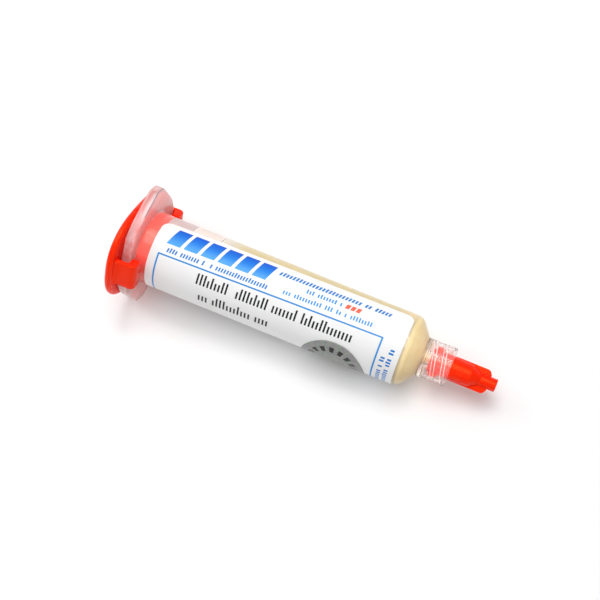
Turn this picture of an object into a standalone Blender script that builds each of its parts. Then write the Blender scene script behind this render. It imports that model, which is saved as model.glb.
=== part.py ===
"""Flux syringe: a capped dispensing barrel of paste flux, lying on its flange and its shoulder.

Run with: blender --background --python part.py

Lengths are metres. Every piece is modelled along its own X axis, from the flange (x = 0 at the
flange's back face) towards the tip, with local Y along the flange's two ears and local Z across
them. One empty then rolls and tilts the whole syringe into its resting position.
"""

from math import atan2, copysign, cos, pi, radians, sin, sqrt, tan

import bmesh
import bpy
from mathutils import Vector

# Barrel tube
BORE_RADIUS = 0.0079
BARREL_WALL = 0.0013
BARREL_DRAFT = 0.00024
BARREL_LENGTH = 0.0717
BORE_LEAD_IN = 0.0004
SHOULDER_ROUND = 0.0028
SHOULDER_SLOPE = radians(54.0)
SHOULDER_FLOOR = 0.0012
FLOOR_CONE_LENGTH = 0.0010

# Flange, an oval plate with two long ears
FLANGE_THICKNESS = 0.0024
FLANGE_EDGE_ROUND = 0.0003
FLANGE_EAR_LEDGE = 0.0070
FLANGE_SIDE_LEDGE = 0.0025
FLANGE_END_HALF_WIDTH = 0.0017
FLANGE_SLANT_END_LEDGE = 0.0007
FLANGE_SLANT_END_DROP = 0.0023
FLANGE_SIDE_HALF_LENGTH = 0.0065
FLANGE_CORNER_ROUND = 0.0010

# Lock collar and the tapered tip inside it
COLLAR_LENGTH = 0.0074
COLLAR_RADIUS = 0.0049
COLLAR_WALL = 0.0009
COLLAR_EDGE_ROUND = 0.0003
COLLAR_DEPTH = 0.0064
TIP_LENGTH = 0.0060
TIP_END_RADIUS = 0.00198
TIP_TAPER = 0.06
CHANNEL_RADIUS = 0.00115

# End cap: an oval plate, two hooks over the flange's sides and a hollow plug in the bore
CAP_PLATE_THICKNESS = 0.0019
CAP_PLATE_ROUND = 0.0006
CAP_BARREL_LEDGE = 0.0028
CAP_HOOK_LEDGE = 0.0019
CAP_FULLNESS = 2.5
CAP_TURN = radians(9.0)
HOOK_WIDTH = 0.0073
HOOK_ARM_THICKNESS = 0.0012
HOOK_NOSE_LENGTH = 0.0020
HOOK_OUTER_ROUND = 0.0013
PLUG_LENGTH = 0.0061
PLUG_WALL = 0.0012
PLUG_EDGE_ROUND = 0.0004

# Piston
PISTON_PLACE = 0.0108
PISTON_LENGTH = 0.0093
PISTON_LIP_LENGTH = 0.0014
PISTON_WAIST_DEPTH = 0.0004
PISTON_NOSE_LENGTH = 0.0022
PISTON_NOSE_FLAT_RADIUS = 0.0016
PISTON_WALL = 0.0012

# Tip cap: a blind socket with two lugs, a hub, a cone, two flat wings and a round nose
TIP_CAP_RADIUS = 0.0030
TIP_CAP_HUB_LENGTH = 0.0050
TIP_CAP_HUB_END_RADIUS = 0.0028
TIP_CAP_CONE_LENGTH = 0.0025
TIP_CAP_NOSE_RADIUS = 0.0016
TIP_CAP_NOSE_LENGTH = 0.0040
TIP_CAP_END_ROUND = 0.00025
TIP_CAP_TURN = radians(-31.0)
SOCKET_END_GAP = 0.0008
SOCKET_SEAT_GAP = 0.0011
WING_HALF_WIDTH = 0.00305
WING_THICKNESS = 0.0012
WING_END = 0.0095
WING_CORNER_ROUND = 0.0011
LUG_REACH = 0.00355
LUG_WIDTH = 0.0026
LUG_LENGTH = 0.0020
LUG_SET_BACK = 0.0006

# Label and round seal, both wrapped on the barrel
LABEL_START = 0.0056
LABEL_LENGTH = 0.0659
LABEL_THICKNESS = 0.0001
LABEL_EDGE_ANGLE = radians(7.5)
LABEL_ARC = radians(198.0)
LABEL_SKEW = radians(-10.5)
LABEL_CORNER_ROUND = 0.0023
SEAL_RADIUS = 0.0083
SEAL_THICKNESS = 0.0001
SEAL_FROM_LABEL_END = 0.0152
SEAL_ANGLE = radians(141.0)

# Clearances between neighbouring pieces
SEAT_GAP = 0.0003
HOOK_NOSE_GAP = 0.0006
SLIDING_GAP = 0.0002
SKIN_GAP = 0.0001

# Points this close together on the axis become one
AXIS_MERGE = 1e-7

# Steps round a full turn, along rounded edges and over the wrapped sheets
TURN_STEPS = 60
ROUND_STEPS = 3
SHOULDER_STEPS = 6
LABEL_STEPS = (18, 34)
SEAL_STEPS = (12, 12)
SHARP_ANGLE = radians(30.0)

# Sizes that follow from the ones above
BARREL_RADIUS = BORE_RADIUS + BARREL_WALL
BARREL_FRONT_RADIUS = BARREL_RADIUS - BARREL_DRAFT
SHOULDER_RUN = SHOULDER_ROUND * sin(SHOULDER_SLOPE)
SHOULDER_DROP = SHOULDER_ROUND * (1 - cos(SHOULDER_SLOPE))
SHOULDER_CONE = (BARREL_FRONT_RADIUS - SHOULDER_DROP - COLLAR_RADIUS) / tan(SHOULDER_SLOPE)
SHOULDER_END = BARREL_LENGTH + SHOULDER_RUN + SHOULDER_CONE
COLLAR_END = SHOULDER_END + COLLAR_LENGTH
COLLAR_BORE_RADIUS = COLLAR_RADIUS - COLLAR_WALL
COLLAR_FLOOR = COLLAR_END - COLLAR_DEPTH
TIP_END = COLLAR_FLOOR + TIP_LENGTH
FLANGE_HALF_LENGTH = BARREL_RADIUS + FLANGE_EAR_LEDGE
FLANGE_HALF_WIDTH = BARREL_RADIUS + FLANGE_SIDE_LEDGE
FLANGE_END = (FLANGE_HALF_LENGTH, FLANGE_END_HALF_WIDTH)
FLANGE_SLANT_END = (BARREL_RADIUS + FLANGE_SLANT_END_LEDGE, FLANGE_HALF_WIDTH - FLANGE_SLANT_END_DROP)
FLANGE_SIDE_END = (FLANGE_SIDE_HALF_LENGTH, FLANGE_HALF_WIDTH)
HOOK_INNER = FLANGE_HALF_WIDTH / cos(CAP_TURN) + HOOK_WIDTH / 2 * tan(CAP_TURN) + SEAT_GAP
HOOK_OUTER = HOOK_INNER + HOOK_ARM_THICKNESS
CAP_HALF_WIDTH = BARREL_RADIUS + CAP_BARREL_LEDGE
CAP_HALF_LENGTH = HOOK_OUTER + CAP_HOOK_LEDGE
SEAL_PLACE = LABEL_START + LABEL_LENGTH - SEAL_FROM_LABEL_END


def barrel_radius(x):
    """Outer radius of the barrel tube, which narrows slightly towards the tip."""
    return BARREL_RADIUS - BARREL_DRAFT * x / BARREL_LENGTH


def tip_radius(x):
    """Outer radius of the tapered tip."""
    return TIP_END_RADIUS + (TIP_END - x) * TIP_TAPER / 2


def arc(centre, radii, start, end, steps):
    """Points (x, r) along part of an ellipse, angles measured from +x towards +r."""
    turns = [start + (end - start) * i / steps for i in range(steps + 1)]
    return [(centre[0] + radii[0] * cos(a), centre[1] + radii[1] * sin(a)) for a in turns]


def rounded_outline(corners, radius, steps):
    """Points of a polygon whose corners are rounded to the same radius."""
    points = []
    for i, corner in enumerate(corners):
        here = Vector(corner)
        before = (Vector(corners[i - 1]) - here).normalized()
        after = (Vector(corners[(i + 1) % len(corners)]) - here).normalized()
        half = before.angle(after) / 2
        centre = here + (before + after).normalized() * radius / sin(half)
        first = here + before * radius / tan(half) - centre
        last = here + after * radius / tan(half) - centre
        for k in range(steps + 1):
            share = k / steps
            points.append(centre + first.slerp(last, share).normalized() * radius)
    return points


def new_object(name, mesh_edit, parent, place=0.0):
    """Make a named mesh object at x = place on its parent's axis."""
    bmesh.ops.recalc_face_normals(mesh_edit, faces=mesh_edit.faces)
    mesh = bpy.data.meshes.new(name)
    mesh_edit.to_mesh(mesh)
    mesh_edit.free()
    mesh.shade_smooth()
    mesh.set_sharp_from_angle(angle=SHARP_ANGLE)
    thing = bpy.data.objects.new(name, mesh)
    bpy.context.scene.collection.objects.link(thing)
    thing.parent = parent
    thing.location = (place, 0.0, 0.0)
    return thing


def turned(profile, closed=False):
    """Spin a profile of (x, r) points about the X axis; an open one starts and ends on the axis."""
    edit = bmesh.new()
    points = [edit.verts.new((x, r, 0.0)) for x, r in profile]
    edges = [edit.edges.new(pair) for pair in zip(points, points[1:])]
    if closed:
        edges.append(edit.edges.new((points[-1], points[0])))
    bmesh.ops.spin(edit, geom=points + edges, cent=(0, 0, 0), axis=(1, 0, 0), dvec=(0, 0, 0),
                   angle=2 * pi, steps=TURN_STEPS, use_merge=True, use_duplicate=False)
    bmesh.ops.remove_doubles(edit, verts=edit.verts, dist=AXIS_MERGE)
    return edit


def extruded(outline, direction):
    """Extrude a flat outline of 3D points along a direction."""
    edit = bmesh.new()
    face = edit.faces.new([edit.verts.new(point) for point in outline])
    walls = bmesh.ops.extrude_face_region(edit, geom=[face])
    moved = [v for v in walls["geom"] if isinstance(v, bmesh.types.BMVert)]
    bmesh.ops.translate(edit, verts=moved, vec=direction)
    return edit


def bevel_rims(edit, width):
    """Round the edges that lie in planes square to X, at both ends of an extrusion."""
    rims = [e for e in edit.edges if abs(e.verts[0].co.x - e.verts[1].co.x) < width]
    bmesh.ops.bevel(edit, geom=rims, offset=width, segments=2, profile=0.5, affect="EDGES")


def paint(thing, colour, roughness, alpha=1.0, transmission=0.0, metallic=0.0):
    """Give an object its own Principled material."""
    material = bpy.data.materials.new(thing.name)
    material.use_nodes = True
    shader = material.node_tree.nodes["Principled BSDF"]
    shader.inputs["Base Color"].default_value = (*colour, 1.0)
    shader.inputs["Roughness"].default_value = roughness
    shader.inputs["Metallic"].default_value = metallic
    shader.inputs["Transmission Weight"].default_value = transmission
    shader.inputs["Alpha"].default_value = alpha
    thing.data.materials.append(material)


def join_shape(thing, tool, operation):
    """Add or cut another shape with a Boolean modifier; the tool itself isn't a piece."""
    step = thing.modifiers.new(tool.name, "BOOLEAN")
    step.operation = operation
    step.solver = "EXACT"
    step.object = tool
    tool.hide_render = True
    tool.display_type = "WIRE"


def shoulder_profile(radius, rounding, neck):
    """Rounded edge of a tube and the sloping shoulder after it, down to a neck, as (x, r)."""
    edge = arc((BARREL_LENGTH, radius - rounding), (rounding, rounding),
               pi / 2, pi / 2 - SHOULDER_SLOPE, SHOULDER_STEPS)
    return edge + [(edge[-1][0] + (edge[-1][1] - neck) / tan(SHOULDER_SLOPE), neck)]


def bore_end_profile(inset):
    """Front of the bore, moved inwards by an inset: the shoulder, then a cone to the channel."""
    rounding = SHOULDER_ROUND - BARREL_WALL - inset
    neck = COLLAR_RADIUS - SHOULDER_FLOOR - inset
    points = shoulder_profile(BORE_RADIUS - inset, rounding, neck)
    return points + [(points[-1][0] + FLOOR_CONE_LENGTH, CHANNEL_RADIUS - inset)]


def flange_outline():
    """Corners of the flange, as (ear direction, side direction)."""
    quarter = [FLANGE_END, FLANGE_SLANT_END, FLANGE_SIDE_END]
    upper = quarter + [(-a, b) for a, b in reversed(quarter)]
    corners = upper + [(-a, -b) for a, b in upper]
    return rounded_outline(corners, FLANGE_CORNER_ROUND, 2)


def make_barrel(parent):
    """Moulded barrel: tube, flange, shoulder, lock collar and tapered tip in one piece."""
    outer = [(0.0, BORE_RADIUS + BORE_LEAD_IN), (0.0, BARREL_RADIUS)]
    outer += shoulder_profile(BARREL_FRONT_RADIUS, SHOULDER_ROUND, COLLAR_RADIUS)
    rim = COLLAR_EDGE_ROUND
    outer += arc((COLLAR_END - rim, COLLAR_RADIUS - rim), (rim, rim), pi / 2, 0.0, ROUND_STEPS)
    inside_collar = [(COLLAR_END, COLLAR_BORE_RADIUS), (COLLAR_FLOOR, COLLAR_BORE_RADIUS),
                     (COLLAR_FLOOR, tip_radius(COLLAR_FLOOR)), (TIP_END, TIP_END_RADIUS),
                     (TIP_END, CHANNEL_RADIUS)]
    bore = bore_end_profile(0.0)[::-1] + [(BORE_LEAD_IN, BORE_RADIUS)]
    barrel = new_object("barrel", turned(outer + inside_collar + bore, closed=True), parent)

    plate = extruded([(0.0, a, b) for a, b in flange_outline()], (FLANGE_THICKNESS, 0, 0))
    bevel_rims(plate, FLANGE_EDGE_ROUND)
    flange = new_object("flange_shape", plate, parent)
    middle = (BORE_RADIUS + BARREL_RADIUS) / 2
    ends = (-FLANGE_THICKNESS, 2 * FLANGE_THICKNESS)
    hole = turned([(ends[0], 0.0), (ends[0], middle), (ends[1], middle), (ends[1], 0.0)])
    join_shape(flange, new_object("flange_hole", hole, parent), "DIFFERENCE")
    join_shape(barrel, flange, "UNION")
    paint(barrel, (0.86, 0.84, 0.80), 0.30, transmission=0.6, alpha=0.5)
    return barrel


def hook_shape(side):
    """One L-shaped hook of the end cap, on the side given as +1 or -1."""
    back = FLANGE_THICKNESS + SEAT_GAP
    front = back + HOOK_NOSE_LENGTH
    reach = BARREL_RADIUS + HOOK_NOSE_GAP
    root = -SEAT_GAP - CAP_PLATE_THICKNESS / 2
    corner = (front - HOOK_OUTER_ROUND, HOOK_OUTER - HOOK_OUTER_ROUND)
    rounded = arc(corner, (HOOK_OUTER_ROUND, HOOK_OUTER_ROUND), 0.0, pi / 2, ROUND_STEPS)
    inside = [(root, HOOK_INNER), (back, HOOK_INNER), (back, reach), (front, reach)]
    outline = inside + rounded + [(root, HOOK_OUTER)]
    points = [(x, -HOOK_WIDTH / 2, side * z) for x, z in outline]
    return extruded(points, (0, HOOK_WIDTH, 0))


def full_oval(half_width, half_length):
    """Outline of an oval that is fuller than an ellipse, as (width, length) points."""
    power = 2 / CAP_FULLNESS
    points = []
    for i in range(TURN_STEPS):
        across = cos(2 * pi * i / TURN_STEPS)
        along = sin(2 * pi * i / TURN_STEPS)
        points.append((copysign(abs(across) ** power, across) * half_width,
                       copysign(abs(along) ** power, along) * half_length))
    return points


def plug_shape():
    """Hollow plug that closes the bore, open towards the tip."""
    outer = BORE_RADIUS - SEAT_GAP
    inner = outer - PLUG_WALL
    root = -SEAT_GAP - CAP_PLATE_THICKNESS / 2
    rim = PLUG_EDGE_ROUND
    nose = arc((PLUG_LENGTH - rim, outer - rim), (rim, rim), pi / 2, 0.0, ROUND_STEPS)
    return turned([(root, outer), *nose, (PLUG_LENGTH, inner), (root, inner)], closed=True)


def make_end_cap(parent):
    """End cap, turned a little on the flange as far as its hooks' clearance lets it."""
    oval = [(-SEAT_GAP, y, z) for y, z in full_oval(CAP_HALF_WIDTH, CAP_HALF_LENGTH)]
    plate = extruded(oval, (-CAP_PLATE_THICKNESS, 0, 0))
    bevel_rims(plate, CAP_PLATE_ROUND)
    cap = new_object("end_cap", plate, parent)
    tools = [new_object("plug_shape", plug_shape(), parent),
             new_object("hook_shape_a", hook_shape(1), parent),
             new_object("hook_shape_b", hook_shape(-1), parent)]
    for tool in tools:
        join_shape(cap, tool, "UNION")
    for thing in (cap, *tools):
        thing.rotation_euler.x = CAP_TURN
    paint(cap, (0.90, 0.09, 0.02), 0.30)
    return cap


def piston_nose(offset):
    """Front cone of the piston from its rim to the middle, moved forwards by an offset."""
    start = PISTON_LENGTH + offset
    return [(start + PISTON_NOSE_LENGTH, 0.0),
            (start + PISTON_NOSE_LENGTH, PISTON_NOSE_FLAT_RADIUS)]


def make_piston(parent):
    """Wiper piston: two lips that wipe the bore, a cone at the front and a cup at the back."""
    lip = BORE_RADIUS - SLIDING_GAP
    waist = lip - PISTON_WAIST_DEPTH
    slope = PISTON_WAIST_DEPTH
    cup = waist - PISTON_WALL
    outside = [(PISTON_LENGTH, lip), (PISTON_LENGTH - PISTON_LIP_LENGTH, lip),
               (PISTON_LENGTH - PISTON_LIP_LENGTH - slope, waist),
               (PISTON_LIP_LENGTH + slope, waist), (PISTON_LIP_LENGTH, lip), (0.0, lip)]
    inside = [(0.0, cup), (PISTON_LENGTH - PISTON_WALL, cup), (PISTON_LENGTH - PISTON_WALL, 0.0)]
    edit = turned(piston_nose(0.0) + outside + inside)
    piston = new_object("piston", edit, parent, PISTON_PLACE)
    paint(piston, (0.92, 0.92, 0.90), 0.40)
    return piston


def make_flux_paste(parent):
    """Flux paste that fills the barrel from the piston's cone to the end of the tip's channel."""
    back = [(PISTON_PLACE + x, r) for x, r in piston_nose(SEAT_GAP)]
    wall = [(PISTON_PLACE + PISTON_LENGTH + SEAT_GAP, BORE_RADIUS - SEAT_GAP)]
    channel = [(TIP_END - SEAT_GAP, CHANNEL_RADIUS - SEAT_GAP), (TIP_END - SEAT_GAP, 0.0)]
    edit = turned(back + wall + bore_end_profile(SEAT_GAP) + channel)
    paste = new_object("flux_paste", edit, parent)
    paint(paste, (0.86, 0.70, 0.38), 0.45)
    return paste


def wing_shape():
    """Flat plate whose two edges are the tip cap's wings, as an extrusion across its thickness."""
    back = COLLAR_END + SEAT_GAP
    end = COLLAR_END + WING_END
    half = WING_HALF_WIDTH
    r = WING_CORNER_ROUND
    outline = [(back, -half), *arc((end - r, r - half), (r, r), -pi / 2, 0.0, ROUND_STEPS),
               *arc((end - r, half - r), (r, r), 0.0, pi / 2, ROUND_STEPS), (back, half)]
    points = [(x, y, -WING_THICKNESS / 2) for x, y in outline]
    return extruded(points, (0, 0, WING_THICKNESS))


def lug_shape(back):
    """Bar whose two ends are the lugs that catch the collar's thread."""
    half = LUG_WIDTH / 2
    corners = [(back, -LUG_REACH, -half), (back, LUG_REACH, -half),
               (back, LUG_REACH, half), (back, -LUG_REACH, half)]
    return extruded(corners, (LUG_LENGTH, 0, 0))


def make_tip_cap(parent):
    """Tip cap, modelled about the collar's end."""
    back = COLLAR_FLOOR + SOCKET_SEAT_GAP
    hub_end = COLLAR_END + TIP_CAP_HUB_LENGTH
    cone_end = hub_end + TIP_CAP_CONE_LENGTH
    end = cone_end + TIP_CAP_NOSE_LENGTH
    rim = TIP_CAP_END_ROUND
    nose = TIP_CAP_NOSE_RADIUS
    outer = [(end, 0.0), (end, nose - rim), (end - rim, nose), (cone_end, nose),
             (hub_end, TIP_CAP_HUB_END_RADIUS), (COLLAR_END + SEAT_GAP, TIP_CAP_RADIUS),
             (back, TIP_CAP_RADIUS)]
    deep = TIP_END + SOCKET_END_GAP
    socket = [(back, tip_radius(back) + SLIDING_GAP), (deep, tip_radius(deep) + SLIDING_GAP),
              (deep, 0.0)]
    cap = new_object("tip_cap", turned(outer + socket), parent)
    wings = new_object("wing_shape", wing_shape(), parent)
    join_shape(cap, wings, "UNION")

    lugs = new_object("lug_shape", lug_shape(back + LUG_SET_BACK), parent)
    inside = (TIP_CAP_RADIUS + tip_radius(back) + SLIDING_GAP) / 2
    ends = (back, back + 2 * LUG_SET_BACK + LUG_LENGTH)
    core = turned([(ends[0], 0.0), (ends[0], inside), (ends[1], inside), (ends[1], 0.0)])
    join_shape(lugs, new_object("lug_core", core, parent), "DIFFERENCE")
    join_shape(cap, lugs, "UNION")
    for thing in (cap, wings, lugs):
        thing.rotation_euler.x = TIP_CAP_TURN
    paint(cap, (0.92, 0.08, 0.02), 0.28)
    return cap


def wrapped_sheet(name, parent, steps, place_point, thickness):
    """A thin sheet on the barrel: place_point gives x, angle and radius for u, v in -1 to 1."""
    edit = bmesh.new()
    bmesh.ops.create_grid(edit, x_segments=steps[0], y_segments=steps[1], size=1.0)
    for vert in edit.verts:
        x, angle, radius = place_point(vert.co.x, vert.co.y)
        vert.co = (x, radius * cos(angle), radius * sin(angle))
    sheet = new_object(name, edit, parent)
    outwards = sheet.data.vertices[0].co.yz.dot(sheet.data.vertices[0].normal.yz) > 0
    shell = sheet.modifiers.new("thickness", "SOLIDIFY")
    shell.thickness = thickness
    shell.offset = 1.0 if outwards else -1.0
    return sheet


def label_point(u, v):
    """Label outline: a skewed rectangle with rounded corners, its steps finer at both ends."""
    share = (1 - cos(pi * (u + 1) / 2)) / 2
    x = LABEL_START + LABEL_LENGTH * share
    from_end = LABEL_LENGTH * min(share, 1 - share)
    corner = LABEL_CORNER_ROUND - min(from_end, LABEL_CORNER_ROUND)
    cut = LABEL_CORNER_ROUND - sqrt(max(LABEL_CORNER_ROUND ** 2 - corner ** 2, 0.0))
    radius = barrel_radius(x) + SKIN_GAP
    middle = LABEL_EDGE_ANGLE + LABEL_ARC / 2 + LABEL_SKEW * share
    return x, middle + v * (LABEL_ARC / 2 - cut / radius), radius


def seal_point(u, v):
    """Seal outline: a disc, laid over the label."""
    along = SEAL_RADIUS * u * sqrt(1 - v * v / 2)
    round_barrel = SEAL_RADIUS * v * sqrt(1 - u * u / 2)
    x = SEAL_PLACE + along
    radius = barrel_radius(x) + 2 * SKIN_GAP + LABEL_THICKNESS
    return x, SEAL_ANGLE + round_barrel / radius, radius


def make_label(parent):
    """Paper label wrapped round the upper side of the barrel."""
    label = wrapped_sheet("label", parent, LABEL_STEPS, label_point, LABEL_THICKNESS)
    paint(label, (0.93, 0.93, 0.93), 0.35)
    return label


def make_seal(parent):
    """Round silvery seal on the label."""
    seal = wrapped_sheet("seal_sticker", parent, SEAL_STEPS, seal_point, SEAL_THICKNESS)
    paint(seal, (0.72, 0.74, 0.76), 0.25, metallic=0.8)
    return seal


def resting_turns():
    """Roll and tilt that lay one slanted flange edge and the front of the barrel on the floor."""
    along = FLANGE_HALF_LENGTH - FLANGE_SLANT_END[0]
    across = FLANGE_SLANT_END[1] - FLANGE_END_HALF_WIDTH
    slant = atan2(along, across)
    flange_drop = FLANGE_HALF_LENGTH * cos(slant) + FLANGE_END_HALF_WIDTH * sin(slant)
    fall = flange_drop - BARREL_FRONT_RADIUS
    run = BARREL_LENGTH - FLANGE_THICKNESS + FLANGE_EDGE_ROUND
    return pi / 2 - slant, atan2(fall, run)


def lay_on_floor(root, pieces):
    """Roll and tilt the syringe, then put the bottom centre of its bounding box at the origin."""
    roll, tilt = resting_turns()
    root.rotation_euler = (roll, tilt, 0.0)
    bpy.context.view_layer.update()
    depsgraph = bpy.context.evaluated_depsgraph_get()
    points = []
    for piece in pieces:
        shown = piece.evaluated_get(depsgraph)
        points += [shown.matrix_world @ v.co for v in shown.data.vertices]
    low = [min(p[i] for p in points) for i in range(3)]
    high = [max(p[i] for p in points) for i in range(3)]
    root.location = (-(low[0] + high[0]) / 2, -(low[1] + high[1]) / 2, -low[2])


def main():
    """Build every piece, then lay the syringe down."""
    for thing in list(bpy.data.objects):
        bpy.data.objects.remove(thing)
    root = bpy.data.objects.new("syringe_axis", None)
    bpy.context.scene.collection.objects.link(root)
    makers = (make_barrel, make_end_cap, make_piston, make_flux_paste, make_tip_cap, make_label,
              make_seal)
    pieces = [make(root) for make in makers]
    lay_on_floor(root, pieces)


main()
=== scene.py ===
"""Looks of the flux syringe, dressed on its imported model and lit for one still."""

import bpy
import numpy as np
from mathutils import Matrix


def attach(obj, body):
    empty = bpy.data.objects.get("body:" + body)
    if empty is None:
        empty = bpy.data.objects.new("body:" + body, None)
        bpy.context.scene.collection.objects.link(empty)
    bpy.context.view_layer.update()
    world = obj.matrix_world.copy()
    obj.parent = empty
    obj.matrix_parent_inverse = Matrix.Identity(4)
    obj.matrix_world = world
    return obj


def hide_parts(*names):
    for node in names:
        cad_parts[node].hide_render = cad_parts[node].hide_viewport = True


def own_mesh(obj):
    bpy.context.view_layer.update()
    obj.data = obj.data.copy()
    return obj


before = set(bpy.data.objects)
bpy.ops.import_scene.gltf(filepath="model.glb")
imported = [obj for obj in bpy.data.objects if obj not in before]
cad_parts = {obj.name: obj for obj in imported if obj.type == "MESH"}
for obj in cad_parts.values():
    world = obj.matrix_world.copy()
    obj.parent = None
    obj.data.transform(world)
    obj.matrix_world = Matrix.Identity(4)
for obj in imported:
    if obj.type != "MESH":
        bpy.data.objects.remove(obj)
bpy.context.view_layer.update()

# The barrel: one moulding of natural polypropylene, with its eared flange, sloping shoulder,
# thread collar and tapered tip. The wall is milky clear and a little warm.

# Places run along the axis from the flange's back face, towards one ear and towards one hook.
AXIS = np.array((0.9977712, 0.0, -0.0667276))
EAR_SIDE = np.array((0.0516443, 0.6332378, 0.7722323))
HOOK_SIDE = np.array((0.0422544, -0.7739573, 0.6318265))
AXIS_START = np.array((-0.045884, 0.0, 0.0138719))
SHARP_EDGE = np.radians(40.0)
ARC_POINTS = 10


def lay(x, y, z):
    """World places of points given along the axis, towards the ear and towards the hook."""
    x, y, z = np.broadcast_arrays(x, y, z)
    return AXIS_START + x[..., None] * AXIS + y[..., None] * EAR_SIDE + z[..., None] * HOOK_SIDE


def lay_round(x, r, angle):
    """World places of points given along the axis, out from it and by the angle from the ear."""
    return lay(x, r * np.cos(angle), r * np.sin(angle))


def skin(name, points, loop=False, sheet=False, uv=None):
    """Cover a grid of points with faces; rows run along the piece, columns run round it.

    With loop the last row joins the first. Without it each end row closes on its middle point,
    and a sheet stays open on all four sides.
    """
    rows, columns = points.shape[:2]
    places = points.reshape(-1, 3)
    number = np.arange(rows * columns).reshape(rows, columns)
    if loop:
        number = np.vstack((number, number[:1]))
    if not sheet:
        number = np.hstack((number, number[:, :1]))
    quads = np.stack((number[:-1, :-1], number[:-1, 1:], number[1:, 1:], number[1:, :-1]), -1)
    corners = [quads.ravel()]
    sizes = [np.full(quads.size // 4, 4)]
    if not loop and not sheet:
        tips = np.full((2, columns), len(places)) + np.array(((0,), (1,)))
        places = np.vstack((places, points[0].mean(0), points[-1].mean(0)))
        corners.append(np.stack((number[0, 1:], number[0, :-1], tips[0]), -1).ravel())
        corners.append(np.stack((number[-1, :-1], number[-1, 1:], tips[1]), -1).ravel())
        sizes.append(np.full(2 * columns, 3))
    corners = np.concatenate(corners)
    sizes = np.concatenate(sizes)
    mesh = bpy.data.meshes.new(name)
    mesh.vertices.add(len(places))
    mesh.vertices.foreach_set("co", places.ravel())
    mesh.loops.add(len(corners))
    mesh.loops.foreach_set("vertex_index", corners)
    mesh.polygons.add(len(sizes))
    mesh.polygons.foreach_set("loop_start", np.cumsum(sizes) - sizes)
    mesh.update(calc_edges=True)
    if uv is not None:
        mesh.uv_layers.new(name="UVMap").data.foreach_set("uv", uv.reshape(-1, 2)[corners].ravel())
    mesh.polygons.foreach_set("use_smooth", np.ones(len(sizes), bool))
    mesh.set_sharp_from_angle(angle=SHARP_EDGE)
    turn_faces_out(mesh, places)
    piece = bpy.data.objects.new(name, mesh)
    bpy.context.scene.collection.objects.link(piece)
    return piece


def turn_faces_out(mesh, places):
    """Flip the faces if the volume that they enclose about their middle comes out negative."""
    mesh.calc_loop_triangles()
    triangles = np.empty(3 * len(mesh.loop_triangles), int)
    mesh.loop_triangles.foreach_get("vertices", triangles)
    a, b, c = (places[triangles.reshape(-1, 3)] - places.mean(0)).transpose(1, 0, 2)
    if np.einsum("ij,ij->i", a, np.cross(b, c)).sum() < 0:
        mesh.flip_normals()


def rounded_path(corners, spacing=0.0006):
    """Points (x, r) of a line through corners (x, r, rounding).

    Each corner is cut by an arc of its rounding's circle, where that touches both its sides.
    """
    corners = np.array(corners, float)
    path = [corners[:1, :2]]
    threes = np.stack((corners[:-2, :2], corners[1:-1, :2], corners[2:, :2]), 1)
    for (back, here, ahead), rounding in zip(threes, corners[1:-1, 2]):
        inwards = (back - here) / np.linalg.norm(back - here)
        onwards = (ahead - here) / np.linalg.norm(ahead - here)
        half = np.arccos(np.clip(inwards @ onwards, -1, 1)) / 2
        middle = (inwards + onwards) / np.linalg.norm(inwards + onwards)
        centre = here + middle * rounding / np.sin(half)
        start = here + inwards * rounding / np.tan(half) - centre
        sweep = np.sign(inwards[1] * onwards[0] - inwards[0] * onwards[1]) * (np.pi - 2 * half)
        turn = np.linspace(0, sweep, ARC_POINTS)[:, None]
        square_to_start = np.array((-start[1], start[0]))
        path.append(centre + np.cos(turn) * start + np.sin(turn) * square_to_start)
    path = np.vstack(path + [corners[-1:, :2]])
    steps = np.linalg.norm(np.diff(path, axis=0), axis=1)
    place = np.concatenate(((0.0,), np.cumsum(steps)))
    fine = [np.linspace(a, b, max(int((b - a) / spacing), 1), endpoint=False)
            for a, b in zip(place[:-1], place[1:])]
    fine = np.concatenate(fine + [place[-1:]])
    return np.stack((np.interp(fine, place, path[:, 0]), np.interp(fine, place, path[:, 1])), -1)


def round_angles(columns=192):
    """Evenly spaced angles round the axis, from the ear side towards the hook side."""
    return np.linspace(0, 2 * np.pi, columns, endpoint=False)


def turned(path):
    """World places of a path of (x, r) swept round the axis."""
    return lay_round(path[:, :1], path[:, 1:], round_angles())


def material_of(name, colour, roughness):
    """New material; gives it with its nodes, its links and its Principled shader.

    The colour and roughness are for a viewer that can't read the nodes laid over them.
    """
    material = bpy.data.materials.new(name)
    material.use_nodes = True
    nodes = material.node_tree.nodes
    shader = nodes["Principled BSDF"]
    shader.inputs["Base Color"].default_value = (*colour, 1.0)
    shader.inputs["Roughness"].default_value = roughness
    return material, nodes, material.node_tree.links, shader


def node_group(name, inputs, outputs):
    """New shader node group; gives the group, what it is given and what it puts out.

    Its sockets are written (name, kind, default), where a kind is Float or Vector.
    """
    group = bpy.data.node_groups.new(name, "ShaderNodeTree")
    for side, sockets in (("INPUT", inputs), ("OUTPUT", outputs)):
        for label, kind, start in sockets:
            socket = group.interface.new_socket(
                name=label, in_out=side, socket_type="NodeSocket" + kind)
            if start is not None:
                socket.default_value = start
    given = group.nodes.new("NodeGroupInput").outputs
    return group, given, group.nodes.new("NodeGroupOutput").inputs


def sum_node(tree, operation, a, b=None, c=None):
    """Math node on sockets or plain numbers; gives its output."""
    node = tree.nodes.new("ShaderNodeMath")
    node.operation = operation
    for socket, value in zip(node.inputs, (a, b, c)):
        if isinstance(value, bpy.types.NodeSocket):
            tree.links.new(value, socket)
        elif value is not None:
            socket.default_value = value
    return node.outputs["Value"]


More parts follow.
